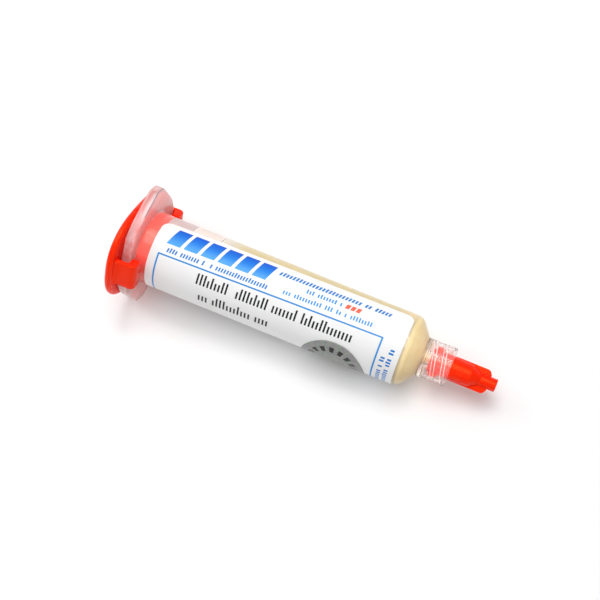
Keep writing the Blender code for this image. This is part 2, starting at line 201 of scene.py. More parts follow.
def blend_colour(tree, factor, below, above):
    """Lay one colour over another by a mask; colours are sockets or plain numbers."""
    mix = tree.nodes.new("ShaderNodeMix")
    mix.data_type = "RGBA"
    sockets = mix.inputs["Factor"], mix.inputs["A"], mix.inputs["B"]
    for socket, value in zip(sockets, (factor, below, above)):
        if isinstance(value, tuple):
            socket.default_value = (*value, 1.0)
        else:
            tree.links.new(value, socket)
    return mix.outputs["Result"]


# Moulded plastic shows faint flow streaks along the part and a fine grain from the mould.
grain_group, given, result = node_group(
    "moulded_grain",
    [("Place", "Vector", None), ("Streak", "Float", 60.0), ("Grain", "Float", 2500.0)],
    [("Flow", "Float", None), ("Height", "Float", None)])
stretch = grain_group.nodes.new("ShaderNodeMapping")
stretch.inputs["Scale"].default_value = (0.12, 1.0, 1.0)
flow = grain_group.nodes.new("ShaderNodeTexNoise")
flow.inputs["Detail"].default_value = 5.0
flow.inputs["Distortion"].default_value = 0.4
fine = grain_group.nodes.new("ShaderNodeTexNoise")
fine.inputs["Detail"].default_value = 3.0
grain_group.links.new(given["Place"], stretch.inputs["Vector"])
grain_group.links.new(stretch.outputs["Vector"], flow.inputs["Vector"])
grain_group.links.new(given["Streak"], flow.inputs["Scale"])
grain_group.links.new(given["Place"], fine.inputs["Vector"])
grain_group.links.new(given["Grain"], fine.inputs["Scale"])
spread = grain_group.nodes.new("ShaderNodeMapRange")
spread.interpolation_type = "SMOOTHSTEP"
spread.inputs["From Min"].default_value = 0.25
spread.inputs["From Max"].default_value = 0.75
grain_group.links.new(flow.outputs["Fac"], spread.inputs["Value"])
grain_group.links.new(spread.outputs["Result"], result["Flow"])
grain_group.links.new(
    sum_node(grain_group, "MULTIPLY_ADD", flow.outputs["Fac"], 2.0, fine.outputs["Fac"]),
    result["Height"])


def moulded(name, dull, bright, roughness, depth, streak=60.0, grain=2500.0, lean=(0.0, 0.0, 0.0)):
    """Plastic whose colour and roughness vary with the mould's flow, between two colours.

    Roughness is a pair, depth the bump's height in metres and lean the turn of the flow streaks.
    """
    material, nodes, links, shader = material_of(name, dull, roughness[0])
    tree = material.node_tree
    place = nodes.new("ShaderNodeMapping")
    place.inputs["Rotation"].default_value = lean
    links.new(nodes.new("ShaderNodeTexCoord").outputs["Object"], place.inputs["Vector"])
    surface = nodes.new("ShaderNodeGroup")
    surface.node_tree = grain_group
    surface.inputs["Streak"].default_value = streak
    surface.inputs["Grain"].default_value = grain
    links.new(place.outputs["Vector"], surface.inputs["Place"])
    flow = surface.outputs["Flow"]
    links.new(blend_colour(tree, flow, dull, bright), shader.inputs["Base Color"])
    links.new(sum_node(tree, "MULTIPLY_ADD", flow, roughness[1] - roughness[0], roughness[0]),
              shader.inputs["Roughness"])
    bump = nodes.new("ShaderNodeBump")
    bump.inputs["Distance"].default_value = depth
    bump.inputs["Strength"].default_value = 1.0
    links.new(surface.outputs["Height"], bump.inputs["Height"])
    links.new(bump.outputs["Normal"], shader.inputs["Normal"])
    return material, nodes, links, shader


BORE = 0.0079
TUBE_BACK, TUBE_FRONT = 0.0092, 0.00896
TUBE_END = 0.0717
FLANGE_THICK = 0.0024
RIM_ROUND, MOUTH_CHAMFER, ROOT_ROUND = 0.0003, 0.0004, 0.0007
# Each side of the flange is the way it faces, in degrees from the ear, and how far out it is.
FLANGE_SIDES = ((90.0, 0.0117), (-90.0, 0.0117), (0.0, 0.0162), (180.0, 0.0162),
                (39.2, 0.01362), (-39.2, 0.01362), (140.8, 0.01362), (-140.8, 0.01362),
                (55.9, 0.01333), (-55.9, 0.01333), (124.1, 0.01333), (-124.1, 0.01333))
FLANGE_POWER = 80
SHOULDER_CORNER = TUBE_END + 0.001427
COLLAR_ROOT, COLLAR_END, COLLAR_FLOOR = 0.076076, 0.083476, 0.077076
COLLAR_RADIUS, COLLAR_BORE = 0.0049, 0.0040
THREAD_START, THREAD_END = COLLAR_FLOOR + 0.0004, COLLAR_END - 0.0004
THREAD_PITCH, THREAD_HEIGHT, THREAD_FADE = 0.0025, 0.00016, 0.0006
CREST_HALF, FLANK = 0.00030, 0.00018
TIP_END, TIP_ROOT_RADIUS, TIP_RADIUS = 0.083076, 0.00216, 0.00198
CHANNEL, CHANNEL_START = 0.00115, 0.076516
BORE_CORNER, CONE_START, CONE_RADIUS = 0.072464, 0.075516, 0.0037
THREAD_ROWS = 90


def flange_edge(angle):
    """Distance to the flange's edge: the inverse of the p-norm of its twelve sides' nearness."""
    pull = sum((np.maximum(np.cos(angle - np.radians(facing)), 0) / far) ** FLANGE_POWER
               for facing, far in FLANGE_SIDES)
    return pull ** (-1 / FLANGE_POWER)


angle = round_angles(columns=240)
edge = flange_edge(angle)
mouth, rim, root = BORE + MOUTH_CHAMFER, edge - RIM_ROUND, TUBE_BACK + ROOT_ROUND
quarter = np.linspace(0, np.pi / 2, 6)[:, None]
share = np.linspace(0, 1, 12)[:, None]
back_face = (0 * share + 0 * angle, (1 - share) * mouth + share * rim)
back_rim = (RIM_ROUND * (1 - np.cos(quarter)) + 0 * angle,
            edge - RIM_ROUND * (1 - np.sin(quarter)))
front_rim = (FLANGE_THICK - RIM_ROUND * (1 - np.sin(quarter)) + 0 * angle,
             edge - RIM_ROUND * (1 - np.cos(quarter)))
front_face = (FLANGE_THICK + 0 * share + 0 * angle, (1 - share) * rim + share * root)
# A path's corners are (along the axis, out from it, rounding).
outside_path = rounded_path([
    (FLANGE_THICK, TUBE_BACK + 0.0012, 0.0), (FLANGE_THICK, TUBE_BACK, ROOT_ROUND),
    (SHOULDER_CORNER, TUBE_FRONT, 0.0028), (COLLAR_ROOT, COLLAR_RADIUS, 0.0004),
    (COLLAR_END, COLLAR_RADIUS, 0.0003), (COLLAR_END, COLLAR_BORE, 0.0002),
    (THREAD_END, COLLAR_BORE, 0.0)], spacing=0.0015)[1:-1]
thread_path = np.linspace((THREAD_END, COLLAR_BORE), (THREAD_START, COLLAR_BORE), THREAD_ROWS)
inside_path = rounded_path([
    (THREAD_START, COLLAR_BORE, 0.0), (COLLAR_FLOOR, COLLAR_BORE, 0.0003),
    (COLLAR_FLOOR, TIP_ROOT_RADIUS, 0.0002), (TIP_END, TIP_RADIUS, 0.0003),
    (TIP_END, CHANNEL, 0.0002), (CHANNEL_START, CHANNEL, 0.0003),
    (CONE_START, CONE_RADIUS, 0.0005), (BORE_CORNER, BORE, 0.0015), (MOUTH_CHAMFER, BORE, 0.0),
    (0.0, mouth, 0.0)], spacing=0.0008)[1:-1]
body_path = np.vstack((outside_path, thread_path, inside_path))
x, r = body_path[:, :1] + 0 * angle, body_path[:, 1:] + 0 * angle
on_thread = np.zeros(len(body_path), bool)
on_thread[len(outside_path):len(outside_path) + len(thread_path)] = True
up_helix = x - COLLAR_FLOOR - angle / np.pi * THREAD_PITCH
from_crest = np.mod(up_helix, THREAD_PITCH) - THREAD_PITCH / 2
fade_in = np.clip(np.minimum(x - THREAD_START, THREAD_END - x) / THREAD_FADE, 0, 1)
down_flank = (np.abs(from_crest) - CREST_HALF) / FLANK
r = r - on_thread[:, None] * fade_in * THREAD_HEIGHT * np.clip(1 - down_flank, 0, 1)
x, r = (np.vstack(part) for part in zip(back_face, back_rim, front_rim, front_face, (x, r)))
barrel = skin("barrel_moulding", lay_round(x, r, angle), loop=True)


def let_lamps_through(material, colour):
    """Give a see-through material a shadow of that colour in place of a full one."""
    nodes, links = material.node_tree.nodes, material.node_tree.links
    path = nodes.new("ShaderNodeLightPath")
    through = nodes.new("ShaderNodeBsdfTransparent")
    through.inputs["Color"].default_value = (*colour, 1.0)
    mix = nodes.new("ShaderNodeMixShader")
    links.new(path.outputs["Is Shadow Ray"], mix.inputs["Fac"])
    links.new(nodes["Principled BSDF"].outputs["BSDF"], mix.inputs[1])
    links.new(through.outputs["BSDF"], mix.inputs[2])
    links.new(mix.outputs["Shader"], nodes["Material Output"].inputs["Surface"])


def clear_plastic(name, dull, bright, edge_on_shade, roughness, depth, clearness, **texture):
    """Polypropylene as hazy glass tinted by the flow, with a painted shade tint where seen edge on.
    """
    material, nodes, links, shader = moulded(name, dull, bright, roughness, depth, **texture)
    shader.inputs["Transmission Weight"].default_value = clearness
    shader.inputs["IOR"].default_value = 1.40
    # Painted shade: where the surface is seen edge on, its colour turns to the edge-on shade
    # colour.
    turned_away = nodes.new("ShaderNodeLayerWeight")
    turned_away.inputs["Blend"].default_value = 0.35
    face_on = shader.inputs["Base Color"].links[0].from_socket
    links.new(blend_colour(material.node_tree, turned_away.outputs["Facing"], face_on, edge_on_shade),
              shader.inputs["Base Color"])
    let_lamps_through(material, bright)
    return material


# The whole barrel is one plastic. It is clearest on the tube and streaky in the flange, whose pink
# is painted light from the orange end cap. It is milkier and paler on the thread's flanks as
# painted highlights, misted and dark pinkish grey behind the piston as painted shade, painted with
# a blue-grey reflection on a band of the flange's rim, and tinted warm as a painted glow where the
# end cap's plug shows through it.
POLISHED = 0.0000001
for finish in (
        clear_plastic("natural_polypropylene", (0.93, 0.87, 0.85), (0.96, 0.91, 0.89),
                      (0.82, 0.74, 0.72), (0.01, 0.03), POLISHED, 0.93),
        # The flange's pink base colour is painted light from the orange end cap behind it; its
        # streaks are the mould's flow.
        clear_plastic("flange_polypropylene", (0.95, 0.28, 0.27), (1.0, 0.78, 0.77),
                      (0.98, 0.55, 0.54), (0.05, 0.12), 0.000003, 0.40,
                      streak=900.0, lean=(0.0, 0.0, 1.5708)),
        clear_plastic("collar_polypropylene", (0.95, 0.84, 0.82), (0.98, 0.89, 0.87),
                      (0.80, 0.66, 0.64), (0.10, 0.14), POLISHED, 0.955),
        # Painted highlight: the thread's flanks are paler and milkier, so they show as light lines.
        clear_plastic("thread_flank", (0.98, 0.90, 0.88), (1.0, 0.95, 0.93),
                      (0.97, 0.90, 0.89), (0.20, 0.30), POLISHED, 0.25),
        # Painted reflection: a dark blue-grey band on part of the flange's front rim.
        clear_plastic("flange_rim_glint", (0.30, 0.38, 0.46), (0.62, 0.68, 0.74),
                      (0.40, 0.48, 0.56), (0.05, 0.10), POLISHED, 0.55),
        # Painted shade: the bore behind the piston is misted and coloured a dark pinkish grey,
        # whose pink is painted light from the orange caps.
        clear_plastic("misted_bore", (0.50, 0.37, 0.365), (0.55, 0.45, 0.445),
                      (0.55, 0.45, 0.445), (0.20, 0.30), 0.000001, 0.10),
        # Painted glow: a warm tint stands in for the orange of the end cap's plug showing through
        # the tube.
        clear_plastic("tube_over_plug", (0.96, 0.72, 0.62), (0.99, 0.78, 0.68),
                      (0.95, 0.72, 0.64), (0.14, 0.22), POLISHED, 0.84)):
    barrel.data.materials.append(finish)
shader = barrel.data.materials["flange_polypropylene"].node_tree.nodes["Principled BSDF"]
shader.inputs["Subsurface Weight"].default_value = 1.0
shader.inputs["Subsurface Radius"].default_value = (0.010, 0.006, 0.0058)
shader.inputs["Subsurface Scale"].default_value = 1.0
number_of = barrel.data.materials.find
HAIR = 0.0001
MIST_START, MIST_END, PLUG_SHOWS_TO = 0.0065, 0.0127, 0.0060
RIM_REFLECTION_START, RIM_REFLECTION_END = np.radians((352, 32))
finish_of_face = np.full(x.shape, number_of("natural_polypropylene"))
finish_of_face[x > COLLAR_ROOT + 2 * HAIR] = number_of("collar_polypropylene")
finish_of_face[x < FLANGE_THICK + HAIR] = number_of("flange_polypropylene")
rim_row = len(back_face[0]) + len(back_rim[0])
# A few rows of the front rim near one ear take the painted reflection.
in_rim_reflection = (angle < RIM_REFLECTION_END) | (angle > RIM_REFLECTION_START)
finish_of_face[rim_row + 1:rim_row + 4, in_rim_reflection] = number_of("flange_rim_glint")
# The thread's flanks take the painted highlight finish.
on_highlit_flank = on_thread[:, None] & (np.abs(down_flank - 0.5) < 0.5)
finish_of_face[-len(body_path):][on_highlit_flank] = number_of("thread_flank")
inner = slice(-len(inside_path), None)
# The bore behind the piston takes the painted shade finish.
misted = (x[inner] > MIST_START) & (x[inner] < MIST_END) & (r[inner] < BORE + HAIR)
finish_of_face[inner][misted] = number_of("misted_bore")
# The tube over the plug takes the painted glow finish.
over_plug = (x > FLANGE_THICK + HAIR) & (x < PLUG_SHOWS_TO) & (r > TUBE_FRONT)
finish_of_face[over_plug] = number_of("tube_over_plug")
barrel.data.polygons.foreach_set("material_index", finish_of_face.ravel())
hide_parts("barrel")
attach(barrel, "barrel")

# The flux: a cream paste that wets the bore from the piston to the shoulder, soft and slightly
# glossy. It squeezes towards the shoulder as the piston moves.

WET = BORE + 0.00004
PISTON_BACK, PISTON_FRONT = 0.0108, 0.0201
NOSE_FRONT, NOSE_FLAT = 0.0223, 0.0016
PASTE_SPLIT, PASTE_GAP, PASTE_FRONT = 0.0230, 0.0002, TIP_END - 0.0003
PASTE_CORNER, PASTE_CONE, PASTE_NECK = 0.07249, 0.07556, 0.0766
paste, nodes, links, shader = moulded("flux_paste", (0.70, 0.54, 0.23), (0.81, 0.69, 0.38),
                                      (0.30, 0.45), 0.00003, streak=160.0, grain=700.0)
shader.inputs["Subsurface Weight"].default_value = 0.45
shader.inputs["Subsurface Radius"].default_value = (0.004, 0.003, 0.0015)
shader.inputs["Subsurface Scale"].default_value = 1.0
full_colour = shader.inputs["Base Color"].links[0].from_socket
axis_place = nodes.new("ShaderNodeSeparateXYZ")
links.new(nodes.new("ShaderNodeTexCoord").outputs["Object"], axis_place.inputs["Vector"])
for start, end, pale in ((TUBE_END - 0.0060, TUBE_END + 0.0010, (0.58, 0.50, 0.235)),
                         (PISTON_FRONT - 0.0010, PISTON_FRONT + 0.0080, (0.74, 0.71, 0.66))):
    deep = nodes.new("ShaderNodeMapRange")
    deep.interpolation_type = "SMOOTHSTEP"
    deep.inputs["From Min"].default_value = lay(start, 0.0, 0.0)[0]
    deep.inputs["From Max"].default_value = lay(end, 0.0, 0.0)[0]
    links.new(axis_place.outputs["X"], deep.inputs["Value"])
    full_colour = blend_colour(paste.node_tree, deep.outputs["Result"], pale, full_colour)
links.new(full_colour, shader.inputs["Base Color"])
behind = rounded_path([
    (NOSE_FRONT + PASTE_GAP, 0.0, 0.0), (NOSE_FRONT + PASTE_GAP, NOSE_FLAT, 0.0004),
    (PISTON_FRONT + PASTE_GAP, WET, 0.0), (PASTE_SPLIT, WET, 0.0), (PASTE_SPLIT, 0.0, 0.0)])
middle = rounded_path([
    (PASTE_SPLIT, 0.0, 0.0), (PASTE_SPLIT, WET, 0.0), (TUBE_END, WET, 0.0),
    (TUBE_END, 0.0, 0.0)], spacing=0.002)
ahead = rounded_path([
    (TUBE_END, 0.0, 0.0), (TUBE_END, WET, 0.0), (PASTE_CORNER, WET, 0.00153),
    (PASTE_CONE, CONE_RADIUS, 0.0005), (PASTE_NECK, CHANNEL, 0.0003),
    (PASTE_FRONT, CHANNEL, 0.0), (PASTE_FRONT, 0.0, 0.0)])
paste_pieces = [skin(name, turned(path[1:-1])) for name, path in (
    ("paste_at_piston", behind), ("paste_column", middle), ("paste_in_shoulder", ahead))]
for piece, body in zip(paste_pieces, ("piston", "barrel", "barrel")):
    piece.data.materials.append(paste)
    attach(piece, body)
    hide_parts("flux_paste")
squeeze_to = tuple(lay(TUBE_END, 0.0, 0.0))
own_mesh(paste_pieces[1])

# The piston: a white polyethylene wiper whose wall fills the bore, with a cone that faces the
# paste and a hollow back. It is pushed in behind the paste. Its white is darkened to a warm grey
# as painted shade inside the bore.

HOLLOW_RADIUS, HOLLOW_END = 0.0061, PISTON_FRONT - 0.0012
WIPER_BACK, BACK_EDGE_FRONT = PISTON_BACK + 0.0018, PISTON_BACK + 0.0014
piston_path = rounded_path([
    (NOSE_FRONT, 0.0, 0.0), (NOSE_FRONT, NOSE_FLAT, 0.0003), (PISTON_FRONT, WET, 0.0002),
    (WIPER_BACK, WET, 0.0003), (BACK_EDGE_FRONT, 0.0075, 0.0002), (PISTON_BACK, 0.0074, 0.0002),
    (PISTON_BACK, HOLLOW_RADIUS, 0.0002), (HOLLOW_END, HOLLOW_RADIUS, 0.0004),
    (HOLLOW_END, 0.0, 0.0)])
piston = skin("wiper_piston", turned(piston_path[1:-1]))
# Painted shade: the white is coloured a warm grey.
white_plastic_painted_shade, nodes, links, shader = moulded(
    "white_polyethylene_painted_shade", (0.66, 0.615, 0.57), (0.72, 0.67, 0.62), (0.36, 0.50), 0.000006)
shader.inputs["Subsurface Weight"].default_value = 0.15
shader.inputs["Subsurface Radius"].default_value = (0.003, 0.003, 0.0025)
piston.data.materials.append(white_plastic_painted_shade)
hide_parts("piston")
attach(piston, "piston")

# The label: a white film stuck a little more than half way round the barrel. It is printed with
# blocks and bars in blue, black and red and with a thin blue frame.

LABEL_START, LABEL_LENGTH, LABEL_ARC = 0.0056, 0.0659, np.radians(198.0)
LABEL_CORNER, LABEL_LIFT = 0.0023, 0.00004
LABEL_UPPER, LABEL_SKEW = 7.5, 10.5


def label_upper_edge(share):
    """Angle of the label's upper edge, which falls evenly along the barrel by a small skew."""
    return np.radians(LABEL_UPPER - LABEL_SKEW * share)


def tube_radius(x):
    """Outer radius of the tube, which tapers evenly from its back to its front."""
    return TUBE_BACK + (TUBE_FRONT - TUBE_BACK) * x / TUBE_END


share = ((1 - np.cos(np.linspace(0, np.pi, 121))) / 2)[:, None]
across = ((1 - np.cos(np.linspace(0, np.pi, 141))) / 2)[None]
from_end = np.minimum(LABEL_LENGTH * np.minimum(share, 1 - share), LABEL_CORNER)
cut = LABEL_CORNER - np.sqrt(LABEL_CORNER ** 2 - (LABEL_CORNER - from_end) ** 2)
x = LABEL_START + LABEL_LENGTH * share + 0 * across
r = tube_radius(x) + LABEL_LIFT
turn = cut / r + across * (LABEL_ARC - 2 * cut / r)
phi = label_upper_edge(share) + turn
uv = np.stack(((x - LABEL_START) * 1000, turn * r * 1000), -1)
label = skin("label_film", lay_round(x, r, phi), sheet=True, uv=uv)

# Print is masks over the film's own map, in millimetres. A row is upright strokes in a band, of
# which some are left out between words and the rest are tall or short by chance.
SHORT_SHARE = 0.45
strokes, given, result = node_group(
    "print_strokes",
    [("Along", "Float", 0.0), ("Across", "Float", 0.0), ("Start", "Float", 0.0),
     ("End", "Float", 1.0), ("Middle", "Float", 0.0), ("Half", "Float", 1.0),
     ("Cell", "Float", 1.0), ("Fill", "Float", 1.0), ("Slant", "Float", 0.0),
     ("Uneven", "Float", 0.0), ("Word Gaps", "Float", 0.0)],
    [("Mask", "Float", None)])
off_middle = sum_node(strokes, "SUBTRACT", given["Across"], given["Middle"])
leaning = sum_node(strokes, "MULTIPLY_ADD", off_middle, given["Slant"], given["Along"])
past_start = sum_node(strokes, "SUBTRACT", leaning, given["Start"])
before_end = sum_node(strokes, "LESS_THAN", leaning, given["End"])
cells = sum_node(strokes, "DIVIDE", past_start, given["Cell"])
cell = sum_node(strokes, "FLOOR", cells)
part_of_cell = sum_node(strokes, "SUBTRACT", cells, cell)
chance = strokes.nodes.new("ShaderNodeTexWhiteNoise")
chance.noise_dimensions = "2D"
seed = strokes.nodes.new("ShaderNodeCombineXYZ")
strokes.links.new(cell, seed.inputs["X"])
strokes.links.new(given["Start"], seed.inputs["Y"])
strokes.links.new(seed.outputs["Vector"], chance.inputs["Vector"])
lot = chance.outputs["Value"]
drawn = sum_node(strokes, "GREATER_THAN", lot, given["Word Gaps"])
is_short = sum_node(strokes, "GREATER_THAN", lot, SHORT_SHARE)
short = sum_node(strokes, "MULTIPLY", is_short, given["Uneven"])
top = sum_node(strokes, "MULTIPLY", given["Half"], sum_node(strokes, "SUBTRACT", short, 1.0))
mask = sum_node(strokes, "GREATER_THAN", off_middle, top)
for part in (sum_node(strokes, "LESS_THAN", off_middle, given["Half"]), drawn, before_end,
             sum_node(strokes, "GREATER_THAN", past_start, 0.0),
             sum_node(strokes, "LESS_THAN", part_of_cell, given["Fill"])):
    mask = sum_node(strokes, "MULTIPLY", mask, part)
strokes.links.new(mask, result["Mask"])

paper, nodes, links, shader = material_of("printed_film", (0.84, 0.84, 0.84), 0.28)
shader.inputs["Specular IOR Level"].default_value = 0.3
tree = paper.node_tree
map_place = nodes.new("ShaderNodeSeparateXYZ")
links.new(nodes.new("ShaderNodeUVMap").outputs["UV"], map_place.inputs["Vector"])
along, across = map_place.outputs["X"], map_place.outputs["Y"]
mottle = nodes.new("ShaderNodeTexNoise")
mottle.inputs["Scale"].default_value = 350.0
mottle.inputs["Detail"].default_value = 4.0
links.new(nodes.new("ShaderNodeTexCoord").outputs["Object"], mottle.inputs["Vector"])

BLUE, PALE_BLUE = (0.0, 0.18, 0.56), (0.0, 0.24, 0.64)
BLACK, RED = (0.008, 0.008, 0.010), (0.85, 0.10, 0.05)
UNBROKEN = 99.0
fade = sum_node(tree, "MULTIPLY_ADD", across, 0.24, -0.35)
fading_blue = blend_colour(tree, fade, (0.0, 0.09, 0.60), (0.02, 0.30, 0.78))
ROWS = (
    # along, across, start, end, middle, half, cell, fill, slant, uneven, word gaps, colour
    (along, across, 3.8, 30.7, 3.6, 2.35, 4.5, 0.80, 0.30, 0.0, 0.0, fading_blue),
    (along, across, 4.0, 30.4, 7.4, 0.62, 0.72, 0.62, 0.15, 0.3, 0.12, BLUE),
    (along, across, 31.8, 60.7, 2.7, 0.62, 0.85, 0.62, 0.30, 0.2, 0.14, BLUE),
    (along, across, 39.6, 48.9, 4.85, 0.58, 0.72, 0.58, 0.0, 0.4, 0.14, PALE_BLUE),
    (along, across, 49.7, 53.7, 4.85, 0.62, 1.35, 0.75, 0.30, 0.0, 0.0, RED),
    (along, across, 34.4, 58.2, 7.0, 0.58, 0.72, 0.58, 0.0, 0.4, 0.14, PALE_BLUE),
    (along, across, 2.1, 60.8, 8.9, 0.19, UNBROKEN, 1.0, 0.0, 0.0, 0.0, PALE_BLUE),
    (along, across, 2.1, 60.8, 28.2, 0.19, UNBROKEN, 1.0, 0.0, 0.0, 0.0, PALE_BLUE),
    (across, along, 8.9, 28.2, 2.3, 0.21, UNBROKEN, 1.0, 0.0, 0.0, 0.0, PALE_BLUE),
    (across, along, 8.9, 28.2, 60.6, 0.21, UNBROKEN, 1.0, 0.0, 0.0, 0.0, PALE_BLUE),
    (along, across, 13.4, 53.9, 11.45, 1.40, 0.95, 0.50, 0.0, 0.7, 0.12, BLACK),
    (along, across, 13.7, 34.2, 16.15, 1.40, 0.95, 0.50, 0.0, 0.7, 0.10, BLACK),
    (across, along, 13.2, 27.0, 62.2, 0.60, 0.80, 0.62, 0.0, 0.3, 0.12, BLUE),
    (across, along, 10.8, 27.0, 63.85, 0.60, 0.80, 0.62, 0.0, 0.3, 0.12, BLUE),
)
face = blend_colour(tree, mottle.outputs["Fac"], (0.825, 0.825, 0.83), (0.855, 0.852, 0.85))
for *numbers, colour in ROWS:
    row = nodes.new("ShaderNodeGroup")
    row.node_tree = strokes
    for socket, value in zip(row.inputs, numbers):
        if isinstance(value, bpy.types.NodeSocket):
            links.new(value, socket)
        else:
            socket.default_value = value
    face = blend_colour(tree, row.outputs["Mask"], face, colour)
links.new(face, shader.inputs["Base Color"])
links.new(sum_node(tree, "MULTIPLY_ADD", mottle.outputs["Fac"], 0.12, 0.26),
          shader.inputs["Roughness"])
bump = nodes.new("ShaderNodeBump")
bump.inputs["Distance"].default_value = 0.000004
links.new(mottle.outputs["Fac"], bump.inputs["Height"])
links.new(bump.outputs["Normal"], shader.inputs["Normal"])
# The glued side is greyer than the print, and its pink is painted light from the orange caps.
glued_side_painted_pink = moulded("film_back", (0.80, 0.68, 0.66), (0.86, 0.75, 0.73), (0.40, 0.50), 0.000002)[0]
for finish in (paper, glued_side_painted_pink):
    let_lamps_through(finish, (0.65, 0.65, 0.65))
    label.data.materials.append(finish)
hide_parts("label")
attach(label, "barrel")

# The seal: a round sticker of silvery foil with a ring of dark wedges. It is pressed on the label
# near its lower corner, at the shoulder end.

SEAL_RADIUS, SEAL_PLACE, SEAL_ANGLE = 0.0083, 0.0563, np.radians(141.0)
SEAL_LIFT, FILM_THICK = 0.00016, 0.0001
WEDGES, WEDGE_SHARE = 16, 0.52
RING_MIDDLE, RING_HALF = 5.7, 0.85
DARK_FOIL = (0.02, 0.02, 0.02)
square = np.linspace(-1, 1, 49)
down, over = np.meshgrid(square, square, indexing="ij")
along = SEAL_RADIUS * down * np.sqrt(1 - over ** 2 / 2)
beside_middle = SEAL_RADIUS * over * np.sqrt(1 - down ** 2 / 2)
x = SEAL_PLACE + along
r = tube_radius(x) + SEAL_LIFT
phi = SEAL_ANGLE + beside_middle / r
uv = np.stack((along, beside_middle), -1) * 1000
seal = skin("foil_seal", lay_round(x, r, phi), sheet=True, uv=uv)
foil, nodes, links, shader = material_of("silver_foil", (0.42, 0.46, 0.43), 0.28)
tree = foil.node_tree
seal_map = nodes.new("ShaderNodeSeparateXYZ")
links.new(nodes.new("ShaderNodeUVMap").outputs["UV"], seal_map.inputs["Vector"])
down, over = seal_map.outputs["X"], seal_map.outputs["Y"]
over_squared = sum_node(tree, "MULTIPLY", over, over)
reach = sum_node(tree, "SQRT", sum_node(tree, "MULTIPLY_ADD", down, down, over_squared))
turn = sum_node(tree, "MULTIPLY", sum_node(tree, "ARCTAN2", down, over), WEDGES / (2 * np.pi))
wedge = sum_node(tree, "LESS_THAN", sum_node(tree, "FRACT", turn), WEDGE_SHARE)
off_ring = sum_node(tree, "ABSOLUTE", sum_node(tree, "SUBTRACT", reach, RING_MIDDLE))
ring = sum_node(tree, "LESS_THAN", off_ring, RING_HALF)
rainbow = nodes.new("ShaderNodeTexNoise")
rainbow.inputs["Scale"].default_value = 1100.0
rainbow.inputs["Detail"].default_value = 1.0
rainbow.inputs["Distortion"].default_value = 0.8
links.new(nodes.new("ShaderNodeTexCoord").outputs["Object"], rainbow.inputs["Vector"])
bands = nodes.new("ShaderNodeValToRGB")
for place, colour in (
        (0.30, (0.17, 0.22, 0.17, 1)), (0.45, (0.26, 0.30, 0.26, 1)),
        (0.55, (0.27, 0.21, 0.235, 1)), (0.68, (0.19, 0.24, 0.25, 1))):
    bands.color_ramp.elements.new(place).color = colour
bands.color_ramp.elements.remove(bands.color_ramp.elements[0])
bands.color_ramp.elements.remove(bands.color_ramp.elements[-1])
links.new(rainbow.outputs["Fac"], bands.inputs["Fac"])
dark = sum_node(tree, "MULTIPLY", wedge, ring)
links.new(blend_colour(tree, dark, bands.outputs["Color"], DARK_FOIL),
          shader.inputs["Base Color"])
shader.inputs["Metallic"].default_value = 0.6
links.new(sum_node(tree, "MULTIPLY_ADD", rainbow.outputs["Fac"], 0.25, 0.2),
          shader.inputs["Roughness"])
seal.data.materials.append(foil)
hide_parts("seal_sticker")
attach(seal, "barrel")
# Both stickers get their thickness outwards. The label's inner side takes its second finish.
for sheet in (label, seal):
    film = sheet.modifiers.new("film", "SOLIDIFY")
    film.thickness = FILM_THICK
    film.offset = 1.0
label.modifiers["film"].material_offset = 1

# The end cap: an oval plate with a rounded rim, a hollow plug in the bore and two hooks that
# clip over the flange, all one orange-red polyethylene moulding.

CAP_TURN = np.radians(9.0)
CAP_HALF_WIDTH, CAP_HALF_LENGTH = 0.0120, 0.015824
PLATE_BACK, PLATE_FRONT = -0.0022, -0.0003
PLATE_ROUND = 0.0009
PLATE_POWER = 2.5
PLUG_OUTSIDE, PLUG_INSIDE, PLUG_END = WET, 0.0064, 0.0061
PLUG_ROOT = PLUG_OUTSIDE + 0.0003


def cap_edge(angle):
    """Distance to the plate's rim, an oval fuller than an ellipse and turned on the flange.

    It is the inverse of the p-norm of the direction's shares of the two half sides.
    """
    across, along = np.cos(angle - CAP_TURN), np.sin(angle - CAP_TURN)
    nearness = (abs(across / CAP_HALF_WIDTH) ** PLATE_POWER
                + abs(along / CAP_HALF_LENGTH) ** PLATE_POWER)
    return nearness ** (-1 / PLATE_POWER)


edge = cap_edge(angle)
flat_edge = edge - PLATE_ROUND
half_turn = np.linspace(0, np.pi, 16)[:, None]
share = np.linspace(0.02, 1, 12)[:, None]
middle = (PLATE_BACK + PLATE_FRONT) / 2
round_half = (PLATE_FRONT - PLATE_BACK) / 2
back_face = (PLATE_BACK + 0 * share + 0 * angle, share * flat_edge)
plate_rim = (middle - round_half * np.cos(half_turn) + 0 * angle,
             edge - PLATE_ROUND * (1 - np.sin(half_turn)))
front_face = (PLATE_FRONT + 0 * share + 0 * angle, (1 - share) * flat_edge + share * PLUG_ROOT)
plug_path = rounded_path([
    (PLATE_FRONT, PLUG_OUTSIDE + 0.0008, 0.0), (PLATE_FRONT, PLUG_OUTSIDE, 0.0002),
    (PLUG_END, PLUG_OUTSIDE, 0.0004), (PLUG_END, PLUG_INSIDE, 0.0003),
    (PLATE_FRONT, PLUG_INSIDE, 0.0004), (PLATE_FRONT, 0.0002, 0.0)])[1:]
plug = (plug_path[:, :1] + 0 * angle, plug_path[:, 1:] + 0 * angle)
x, r = (np.vstack(part) for part in zip(back_face, plate_rim, front_face, plug))
end_cap = skin("end_cap_plate", lay_round(x, r, angle))
END_STEPS, CORNER_STEPS = 6, 7


def swung(points, turn):
    """Turn points (along, beside, above) about the axis by an angle."""
    x, y, z = np.moveaxis(points, -1, 0)
    turned_y = y * np.cos(turn) - z * np.sin(turn)
    turned_z = y * np.sin(turn) + z * np.cos(turn)
    return np.stack((x, turned_y, turned_z), -1)


